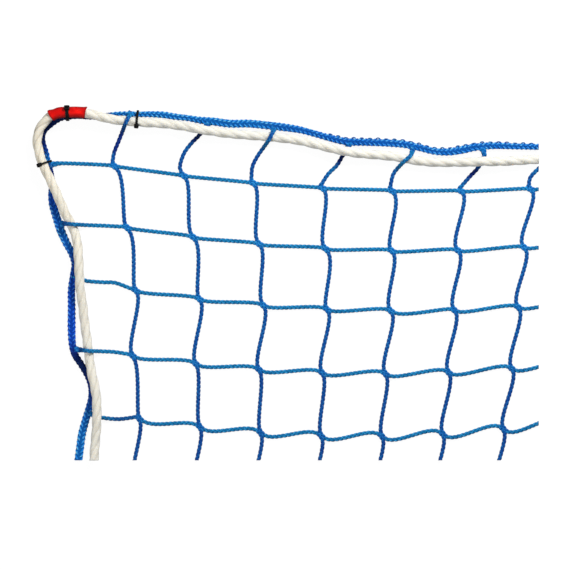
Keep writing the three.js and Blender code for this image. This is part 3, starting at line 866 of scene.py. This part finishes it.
def leg(runs, row, column):
    """Points of the cubic curve from a joint to the next: its ends p and q, and p + m/3 + c, q - n/3 + c
    between them, with m and n the directions there and c the unevenness divided by the middle's share."""
    here = ROWS[row]
    if runs == "across":
        start, stop = anchor(row, column, 1, 1), anchor(row, column + 1, -1, -1)
        leaving = reaching = heading(here.tilt + ACROSS_TURN) * here.across
    else:
        start, stop = anchor(row, column, 1, -1), anchor(row + 1, column, -1, 1)
        leaving = heading(here.tilt + DOWN_TURN) * here.down
        reaching = heading(ROWS[row + 1].tilt + DOWN_TURN) * here.down
    aside = np.array([*UNEVEN.get((runs, row, column), (0, 0)), 0.0]) / MIDDLE_SHARE
    pulls = np.array([start, start + leaving / 3 + aside, stop - reaching / 3 + aside, stop])
    t = np.linspace(0.0, 1.0, LEG_POINTS)[:, None]
    return ((1 - t) ** 3 * pulls[0] + 3 * t * (1 - t) ** 2 * pulls[1]
            + 3 * t**2 * (1 - t) * pulls[2] + t**3 * pulls[3])


# %% [markdown]
# ## Over and under the rope
#
# The outermost legs run from the edge cord to the first joints. Some climb over the rope, and the others pass
# under it. The climb is a bell: the height falls from the rope's back to the floor with the distance from the
# rope's line. Between the cord and the rope the leg passes from the cord's height to its own.

# %% Legs from the cord
UPPER_TWINES = [
    (True, [(-223, 248), (-229, 235), (-236, 220), (-242, 205), (-248, 190), (-250, 180)]),
    (False, [(-111, 233), (-118, 223), (-126, 213), (-136, 203), (-147, 188), (-153, 169)]),
    (True, [(-16, 227), (-19, 217), (-24, 207), (-32, 196), (-41, 183), (-48, 168)]),
    (False, [(94, 204), (88, 193), (82, 183), (74, 170), (62, 158)]),
    (True, [(185, 199), (182, 186), (173, 177), (164, 168), (156, 157)]),
    (False, [(285, 196), (288, 184), (279, 167), (267, 154)]),
    (False, [(381, 178), (366, 165), (355, 153)]),
]
SIDE_TWINES = [
    (False, [(-341, 171), (-327, 173.4), (-304, 173), (-278, 172), (-260, 171)]),
    (True, [(-326, 86), (-309, 85), (-290, 84), (-263, 83), (-243, 82)]),
    (False, [(-307, 11), (-292, 4), (-279, 2), (-263, 1), (-246, 0)]),
    (True, [(-306, -96), (-286, -98), (-268, -99), (-248, -100)]),
    (False, [(-287, -187), (-281, -190.5), (-273, -193.5), (-263, -195.5), (-250, -197), (-237, -197)]),
]
RIDE_REACH, RIDE_CLEAR = 12.0, 0.3
LEG_STEP = 2.0
ROOT_BELOW = 0.5  # a leg begins this far below the cord's middle
PASSING_FROM, PASSING_TO = 13.0, 7.0  # distances from the rope's line
ROPE_RADIUS = STRAND_FROM_AXIS + STRAND_RADIUS


def riding_height(points):
    """Height of a twine's middle over the rope: lying + (top - lying) exp(-(d / reach)^3), and d itself."""
    apart = np.hypot(points[:, None, 0] - rope_line[None, :, 0], points[:, None, 1] - rope_line[None, :, 1])
    closest = apart.argmin(axis=1)
    top = rope_line[closest, 2] + ROPE_RADIUS + RIDE_CLEAR + LYING
    apart = apart.min(axis=1)
    return LYING + (top - LYING) * bell(apart, RIDE_REACH, 3), apart


def leg_from_cord(over, plan, stop):
    """Points from inside the edge cord to the first joint. Coming near the rope's line t goes from 0 to 1 for
    good, and the height passes from the cord's to the leg's own as 3t^2 - 2t^3."""
    flat = np.array([(x, y, LYING) for x, y in plan] + [stop])
    points, _ = smooth_line(flat, LEG_STEP)
    height, apart = riding_height(points)
    if not over:
        height = np.full(len(points), LYING)
    start = cord_line[nearest(cord_line, plan[0]), 2] - ROOT_BELOW
    t = np.clip((PASSING_FROM - apart) / (PASSING_FROM - PASSING_TO), 0.0, 1.0)
    t = np.maximum.accumulate(t)
    points[:, 2] = start + (height - start) * (3 * t**2 - 2 * t**3)
    return points


# %% [markdown]
# ## Stairs through the net
#
# A twine's points are put end to end, from the edge cord to the place where the net is cut. One that comes
# from the side goes down first, one that comes from above goes across first, and then both take turns. So
# every joint is passed by two twines: one comes down and goes on across, the other comes across and goes on
# down.


# %% Stairs through the net
def twine_stations(edge, row, column, from_side):
    """A twine's whole way: its leg from the cord, then down and across in turn until it passes a cut."""
    stations = [leg_from_cord(*edge, anchor(row, column, -1, -1 if from_side else 1))]
    down = from_side
    while row < LAST_ROW and column < LAST_COLUMN:
        stations.append(leg("down" if down else "across", row, column))
        row, column = (row + 1, column) if down else (row, column + 1)
        down = not down
    return np.vstack(stations)


side_ways = [twine_stations(edge, row, 0, True) for row, edge in enumerate(SIDE_TWINES)]
upper_ways = [twine_stations(edge, 0, column, False) for column, edge in enumerate(UPPER_TWINES)]
print("twines:", len(side_ways), "from the side,", len(upper_ways), "from above")

# %% [markdown]
# ## Where a twine is bound, and where it gets painted shade
#
# Near a joint the yarns are pressed together, and the joint's brighter blue fades out along the legs. Painted
# shade makes the net duller low down, most on the lengths that run down, and a little just past each joint,
# where a leg turns out of the light.

# %% Bound lengths and painted shade
JOINT_REACH = 6.5
PASSED_WITHIN = 5.0  # a twine passes the joints that lie this near to its line
SHADE_AT = [(-250, 0.28), (-160, 0.28), (-90, 0.17), (0, 0.1), (90, 0.03), (160, 0)]  # y in mm and the share
SHADE_ACROSS = 0.3  # how much of that share a length across shows
PAST_JOINT, PAST_JOINT_AT, PAST_JOINT_REACH = 0.1, 15.0, 13.0
FAR = 1000.0


def from_joints(line):
    """The distance of every point of a line from every joint's middle, in plan."""
    return np.hypot(line[:, None, 0] - JOINTS[None, :, 0], line[:, None, 1] - JOINTS[None, :, 1])


def shade_on_net(line, along, bind):
    """How much painted shade the twine gets: by its height on the net, more where it runs down or is bound,
    and a little more just past a joint, as a bell round one length of the way since that joint."""
    apart = from_joints(line)
    marks = along[apart.argmin(axis=0)][apart.min(axis=0) < PASSED_WITHIN]
    since = along[:, None] - marks[None, :]
    since = np.where(since < 0, FAR, since).min(axis=1, initial=FAR)
    share = SHADE_ACROSS + (1 - SHADE_ACROSS) * np.maximum(lie_of(line), bind)
    past = PAST_JOINT * bell(since - PAST_JOINT_AT, PAST_JOINT_REACH)
    return np.interp(line[:, 1], *zip(*SHADE_AT)) * share + past


# %% [markdown]
# ## The yarns of a twine
#
# Three yarns are plaited along each twine. They are stouter where it grows out of the cord, and they swing
# wider in a joint, where those of both twines meet. The plaits of two twines never start at the same place,
# so each begins a little further on in its turn.

# %% Yarns of a twine
TWINE_TURN, TWINE_YARNS = 18.6, 3
TWINE_STEP = 1.3
TWINE_SIDES = 8
JOINT_SPREAD = 0.3  # how much wider the yarns swing in a joint, where those of both twines interlace
ROOT_SPREAD, ROOT_REACH = 0.45, 10.0  # how much stouter a twine is where it grows out of the edge cord
PAST_CUT = 12.0  # a line is followed this far beyond a cut, so that the cut meets whole rings
START_STEP = 0.13  # share of a turn
TWINE_SEED_STEP, YARN_SEED_STEP = 3.1, 11.7


def twine_skins(number, stations, soiled):
    """The three yarns of one twine, plaited along its stairs and ended at the cuts."""
    line, along = smooth_line(stations, TWINE_STEP)
    needed = np.maximum(line[:, 0] - CUT_RIGHT, CUT_BOTTOM - line[:, 1]) < PAST_CUT
    line, along = line[needed], along[needed]
    root = bell(along, ROOT_REACH)
    bind = np.maximum(bell(from_joints(line).min(axis=1), JOINT_REACH, 4), root)
    stout = 1 + ROOT_SPREAD * root
    swing, radius = SIDE_SWING * (stout + JOINT_SPREAD * bind), YARN_RADIUS * stout
    # Painted shade: the leg's own stretches, or the shade along the net, whichever is more.
    stretch_shade = np.interp(along, *zip(*soiled), right=0.0)
    soil = np.maximum(stretch_shade, shade_on_net(line, along, bind))
    way, side, _ = directions_of(line)
    made = []
    centres = plait(line, along, TWINE_YARNS, TWINE_TURN, swing, UP_SWING, START_STEP * number)
    for k, centre in enumerate(centres):
        rings = tube(centre, side, 2 * radius, 2 * radius, TWINE_SIDES)
        # Painted shade deep between the yarns.
        hollow = depth_in(rings, line, swing + radius, UP_SWING + radius)
        rings, kept = cut_to_length(rings, way)
        rings[..., 2] = np.maximum(rings[..., 2], YARN_OFF_FLOOR)
        made.append(skin(rings, along[kept], strand=TWINE_SEED_STEP * number + YARN_SEED_STEP * k,
                         lie=lie_of(line)[kept], bind=bind[kept], soil=soil[kept], hollow=hollow[kept],
                         sealed=sealed_near_cut(line)[kept]))
    return made, np.linalg.norm(np.diff(line, axis=0), axis=1).sum()


# %% [markdown]
# ## Painted shade on the legs
#
# The legs next to the cord and the rope get the most painted shade. It comes in stretches with lighter twine
# between them, and each leg has its own, given as the way in mm from where the leg grows out of the cord, and
# the share.

# %% Shaded legs and all twines
UPPER_SHADE = [
    [(0, 0), (20, 0), (36, 0.5), (60, 0.65), (80, 0.65), (90, 0)],
    [(0, 0), (9, 0), (18, 0.9), (28, 0.95), (36, 0.5), (52, 0.05), (60, 0.1), (76, 0.35), (95, 0)],
    [(0, 0.2), (12, 0.3), (28, 0.1), (44, 0.3), (52, 0.15), (60, 0.3), (84, 0.3), (100, 0)],
    [(0, 0), (9, 0), (18, 0.9), (28, 0.9), (36, 0.4), (52, 0)],
    [(0, 0.15), (12, 0.25), (28, 0), (40, 0), (52, 0.2), (68, 0.15), (80, 0.3), (100, 0)],
    [(0, 0.1), (28, 0), (36, 0.7), (46, 0.75), (52, 0.5), (68, 0)],
    [(0, 0.25), (44, 0.25), (60, 0.1), (70, 0)],
]
SIDE_SHADE = [
    [(0, 0.2), (12, 0.1), (80, 0.1), (95, 0)],
    [(0, 0.2), (6, 0.2), (10, 0.5), (14, 0.5), (28, 0.2), (50, 0.2), (60, 0)],
    [(0, 0.2), (12, 0)],
    [(0, 0.3), (6, 0.3), (10, 0.55), (14, 0.5), (28, 0.25), (40, 0)],
    [(0, 0.3), (20, 0.1), (44, 0.45), (68, 0.45), (78, 0.15), (95, 0.1), (105, 0)],
]
twine_length = 0.0
for name, ways, soiled in (("side_twines", side_ways, SIDE_SHADE), ("upper_twines", upper_ways, UPPER_SHADE)):
    skins = []
    for number, stations in enumerate(ways):
        made, own_length = twine_skins(number, stations, soiled[number])
        skins += made
        twine_length += own_length
    make_piece(name, skins, twine_finish, "netting")
print("twine length, in m:", round(twine_length * MM, 2))

# %% [markdown]
# ## The corner sleeve
#
# A red plastic tube was slipped on the rope at the corner. It is a thin wall that is closed at both lips:
# its outline runs along the outside, round a lip, back along the inside and round the other lip, and is
# carried once round the rope. The tie draws it in, and the lips stand a little proud at the outer side.

# %% Sleeve surface
SLEEVE_FROM, SLEEVE_TO = (-338.5, 241.7), (-290.5, 245.9)
SLEEVE_TIE = (-315.5, 247)
SLEEVE_RADIUS, SLEEVE_WALL = 8.2, 0.8
SLEEVE_PLACES, SLEEVE_STEPS = 48, 44
LIP_ROUND = 0.2  # how much of the wall is rounded off at a lip
PINCH, PINCH_REACH = 0.45, 4.0  # how far the tie draws the tube in
FLARE, OUTER_FLARE, FLARE_REACH = 0.4, 0.9, 4.0  # how far a lip stands out, and how much more outside
DENT, DENT_FROM_LIP, DENT_REACH = 0.8, 6.0, 3.5
LIP_REACHES = 0.4, 1.4, 1.8  # the first lip reaches on this far outside and on top, the last one outside
WAVE = 0.12  # soft plastic is never quite round
OUTER_SHADE = 0.7  # of the shade on the side towards the net
LIP_SHADE, LIP_SHADE_REACH = 0.75, 2.5


def sleeve_rings():
    """Point = rope's line at s + R side cos(a) + R up sin(a). R is the outer radius, less at the tie and more
    at the lips, or that less the wall. s runs from lip to lip, and a little further where cos(a) is 1. The
    shade is cos(a)^2, more towards the net, or a bell at each lip."""
    first, last, tied = (rope_along[nearest(rope_line, at)] for at in (SLEEVE_FROM, SLEEVE_TO, SLEEVE_TIE))
    share = np.linspace(0.0, 1.0, SLEEVE_STEPS)
    share = np.concatenate([share, share[::-1]])
    wall = np.repeat([LIP_ROUND, SLEEVE_WALL - LIP_ROUND], SLEEVE_STEPS)
    wall[1:SLEEVE_STEPS - 1], wall[SLEEVE_STEPS + 1:-1] = 0.0, SLEEVE_WALL
    angle = 2 * np.pi * np.arange(SLEEVE_PLACES) / SLEEVE_PLACES
    outside, top = np.maximum(np.cos(angle), 0.0)[None] ** 3, np.maximum(np.sin(angle), 0.0)[None]
    first_outside, first_top, last_outside = LIP_REACHES
    low, high = first - first_outside * outside - first_top * top, last + last_outside * outside
    s = low + (high - low) * share[:, None]
    from_lip = np.minimum(s - low, high - s)
    radius = SLEEVE_RADIUS - PINCH * bell(s - tied, PINCH_REACH)
    radius = radius + (FLARE + OUTER_FLARE * outside) * bell(from_lip, FLARE_REACH)
    radius = radius - DENT * outside * bell(s - low - DENT_FROM_LIP, DENT_REACH)
    radius = radius + WAVE * np.sin(3 * angle + s / 6.0) - wall[:, None]
    shade = np.where(np.cos(angle) > 0, OUTER_SHADE, 1.0) * np.abs(np.cos(angle)) ** 2
    shade = np.maximum(shade[None], LIP_SHADE * bell(from_lip, LIP_SHADE_REACH))
    centre, beside, above = (at_marks(s, rope_along, values)
                             for values in (rope_line, *directions_of(rope_line)[1:]))
    rings = (centre + (radius * np.cos(angle))[..., None] * beside
             + (radius * np.sin(angle))[..., None] * above)
    return rings, s.mean(axis=1), shade


rings, along, shade = sleeve_rings()
print("sleeve length, in mm:", round(along.max() - along.min(), 1))

# %% [markdown]
# ## Glossy red plastic
#
# The tube is soft plastic with a wet gloss. Fine scuffs along it break the highlight, and dents bend it. The
# scuffs are a stretched noise in the roughness, the dents a slower one in the colour and a shallow bump.
# Painted shade darkens its flanks, most on the side towards the net, and both of its lips.

# %% Sleeve finish
sleeve_finish, tree, shader = finish("red_sleeve")
distance, turn = yarn_place(tree)
angle = math_node(tree, "MULTIPLY", turn, 2 * np.pi)
spot = node(tree, "CombineXYZ", {
    0: math_node(tree, "COSINE", angle), 1: math_node(tree, "SINE", angle),
    2: math_node(tree, "MULTIPLY", distance, 60.0)}).outputs[0]
scuff = node(tree, "TexNoise", {"Vector": spot, "Scale": 6.0, "Detail": 4.0}).outputs[0]
dent = node(tree, "TexNoise", {"Vector": spot, "Scale": 1.4, "Detail": 1.0}).outputs[0]
colour = mix_colours(tree, ramp(tree, dent, 0.3, 0.75), (0.66, 0.002, 0.002, 1.0), (0.95, 0.008, 0.005, 1.0))
# Painted shade on the flanks and at the lips.
colour = mix_colours(tree, number_on(tree, "hollow"), colour, (0.13, 0.0008, 0.003, 1.0))
rough = math_node(tree, "MULTIPLY_ADD", ramp(tree, scuff, 0.4, 0.75), 0.25, 0.18)
fill(tree, shader, {
    "Base Color": colour, "Roughness": rough, "Normal": relief(tree, dent, 0.5, 0.001),
    "Specular IOR Level": 0.35, "Specular Tint": (1.0, 0.45, 0.35, 1.0),
    "Coat Weight": 0.12, "Coat Roughness": 0.2})

sleeve_skin = skin(rings, along, closed=True, strand=0.0, hollow=shade)
make_piece("corner_sleeve", [sleeve_skin], sleeve_finish, "sleeve")

# %% [markdown]
# ## Cable ties
#
# A cable tie is a flat band drawn tight round the rope and the edge cord, with a head that locks it. A tight
# loop round two ovals is found with a simple rule: for every direction, the band touches the point of either
# oval that lies furthest that way. A flat rounded section is carried round that loop.


# %% A tight loop
def rounded(angles, corner):
    """A square with round corners: cos and sin, each with its size raised to a small power."""
    return [np.sign(part) * np.abs(part) ** corner for part in (np.cos(angles), np.sin(angles))]


def tight_loop(ovals, angles, offset):
    """For each angle the furthest point of some ovals, and then an offset further. For the direction (x, y)
    it lies (w^2 x, h^2 y) / sqrt(w^2 x^2 + h^2 y^2) from an oval's middle."""
    way = np.column_stack([np.cos(angles), np.sin(angles)])
    candidates = np.array([middle + half**2 * way / np.linalg.norm(half * way, axis=1, keepdims=True)
                           for middle, half in ovals])
    furthest = np.argmax(np.sum(candidates * way, axis=2), axis=0)
    return candidates[furthest, np.arange(len(angles))] + way * offset


# %% [markdown]
# ## Band, head and cut end
#
# The head of a tie is a rounded block with a slot in its top. It is made like a pot on a wheel: an outline
# gives its height and its width, up the side, over the rim and down into the slot. The end of the band, cut
# off short, stands in the slot and is made in the same way.

# %% Tie surfaces
BAND_THICK, BAND_CLEAR, CORD_CLEAR = 1.1, 0.15, 0.2
TIE_OFF_FLOOR = 0.02
BAND_CORNER, HEAD_CORNER = 0.3, 0.45  # the smaller, the squarer
BAND_ANGLES = 2 * np.pi * np.arange(72) / 72
BAND_SECTION = 2 * np.pi * (np.arange(12) + 0.5) / 12
HEAD_SECTION = 2 * np.pi * (np.arange(28) + 0.5) / 28
# The outlines of head and cut end, with height and width as shares of the head's half height and width.
HEAD_OUTLINE = [(-1.0, 0.02), (-1.0, 0.8), (-0.94, 0.94), (-0.8, 1.0), (0.75, 1.0), (0.92, 0.94), (1.0, 0.8),
                (1.0, 0.6), (0.96, 0.54), (0.5, 0.52), (0.45, 0.02)]
END_OUTLINE = [(0.2, 0.02), (0.2, 1.0), (1.25, 1.0), (1.3, 0.9), (1.3, 0.02)]
HEAD_TALL, HEAD_AROUND, HEAD_MORE = 4.2, 6.6, 3.2  # the head is this much wider than its band
END_WIDTH = 0.42  # half the cut end's width, as a share of the band's


def tie_skins(at, width, head_degrees, round_radius):
    """The band, the head and the cut end of a tie, in the rope's own cross-section at a place."""
    number = nearest(rope_line, at)
    middle = rope_line[number] * [1, 1, 0]
    way = unit((rope_line[number + 2] - rope_line[number - 2]) * [1, 1, 0])
    outward, up = np.array([-way[1], way[0], 0.0]), np.array([0.0, 0.0, 1.0])
    cord = nearest(cord_line, middle)
    cord_middle = np.array([(cord_lifted[cord] - middle) @ outward, cord_lifted[cord, 2]])
    ovals = [
        (np.array([0.0, rope_line[number, 2]]), np.array([round_radius, round_radius])),
        (cord_middle, np.array([cord_width[cord] / 2 + CORD_CLEAR, cord_half_height[cord]])),
    ]

    def in_place(flat, shift):
        """Points (outward, up) of the cross-section, and how far each lies along the rope, in the net."""
        return middle + flat[..., :1] * outward + flat[..., 1:] * up + np.asarray(shift)[..., None] * way

    loop = tight_loop(ovals, BAND_ANGLES, BAND_CLEAR + BAND_THICK / 2)
    normal = np.column_stack([np.cos(BAND_ANGLES), np.sin(BAND_ANGLES)])
    wide, thick = rounded(BAND_SECTION, BAND_CORNER)
    flat = loop[:, None] + normal[:, None] * (thick * BAND_THICK / 2)[None, :, None]
    band = in_place(flat, np.broadcast_to(wide * width / 2, flat.shape[:2]))
    band[..., 2] = np.maximum(band[..., 2], TIE_OFF_FLOOR)
    distance = np.concatenate([[0.0], np.cumsum(np.linalg.norm(np.diff(loop, axis=0), axis=1))])

    turn = np.radians(head_degrees)
    out, aside = np.array([np.cos(turn), np.sin(turn)]), np.array([-np.sin(turn), np.cos(turn)])
    seat = tight_loop(ovals, np.array([turn]), BAND_CLEAR + BAND_THICK / 2 + HEAD_TALL / 2)[0]
    around, along = rounded(HEAD_SECTION, HEAD_CORNER)

    def block(outline, half_around, half_along, seed):
        """A block on the seat: its outline's heights go out from the rope, and its widths round and along."""
        height, share = np.array(outline).T
        flat = (seat + (height * HEAD_TALL / 2)[:, None, None] * out
                + np.outer(share, around * half_around)[..., None] * aside)
        rows = np.arange(len(outline), dtype=float)
        return skin(in_place(flat, np.outer(share, along * half_along)), rows, strand=seed)

    return [
        skin(band, distance, closed=True, strand=0.0),
        block(HEAD_OUTLINE, HEAD_AROUND / 2, (width + HEAD_MORE) / 2, 1.0),
        block(END_OUTLINE, BAND_THICK / 2, width * END_WIDTH, 2.0),
    ]


# %% [markdown]
# ## Black nylon
#
# Ties are moulded in black nylon: nearly black, half gloss, with faint lines across the band where its teeth
# shine through and a fine grain from the mould.

# %% Tie finish
tie_finish, tree, shader = finish("black_nylon")
TOOTH_PITCH = 0.0011  # metres
distance, _ = yarn_place(tree)
teeth = math_node(tree, "SINE", math_node(tree, "MULTIPLY", distance, 2 * np.pi / TOOTH_PITCH))
grain = node(tree, "TexNoise", {
    "Vector": node(tree, "TexCoord").outputs["Object"], "Scale": 900.0, "Detail": 3.0}).outputs[0]
height = math_node(tree, "MULTIPLY_ADD", teeth, 0.25, grain)
pale = ramp(tree, grain, 0.35, 0.7)
fill(tree, shader, {
    "Base Color": mix_colours(tree, pale, (0.001, 0.001, 0.0015, 1.0), (0.005, 0.005, 0.006, 1.0)),
    "Roughness": math_node(tree, "MULTIPLY_ADD", grain, 0.3, 0.3),
    "Normal": relief(tree, height, 0.35, 0.0003), "Specular IOR Level": 0.2})

# Each tie's node, its place on the rope, its band's width, its head's angle and the radius of what it holds.
TIES = [
    ("tie_side", (-350.5, 172.8), 2.8, 58, ROPE_RADIUS),
    ("tie_sleeve", SLEEVE_TIE, 5.0, 54, SLEEVE_RADIUS - PINCH),
    ("tie_top", (-214.5, 234), 3.4, 130, ROPE_RADIUS),
]
for name, at, width, head_degrees, round_radius in TIES:
    skins = tie_skins(at, width, head_degrees, round_radius)
    make_piece(name + "_band_and_head", skins, tie_finish, name)
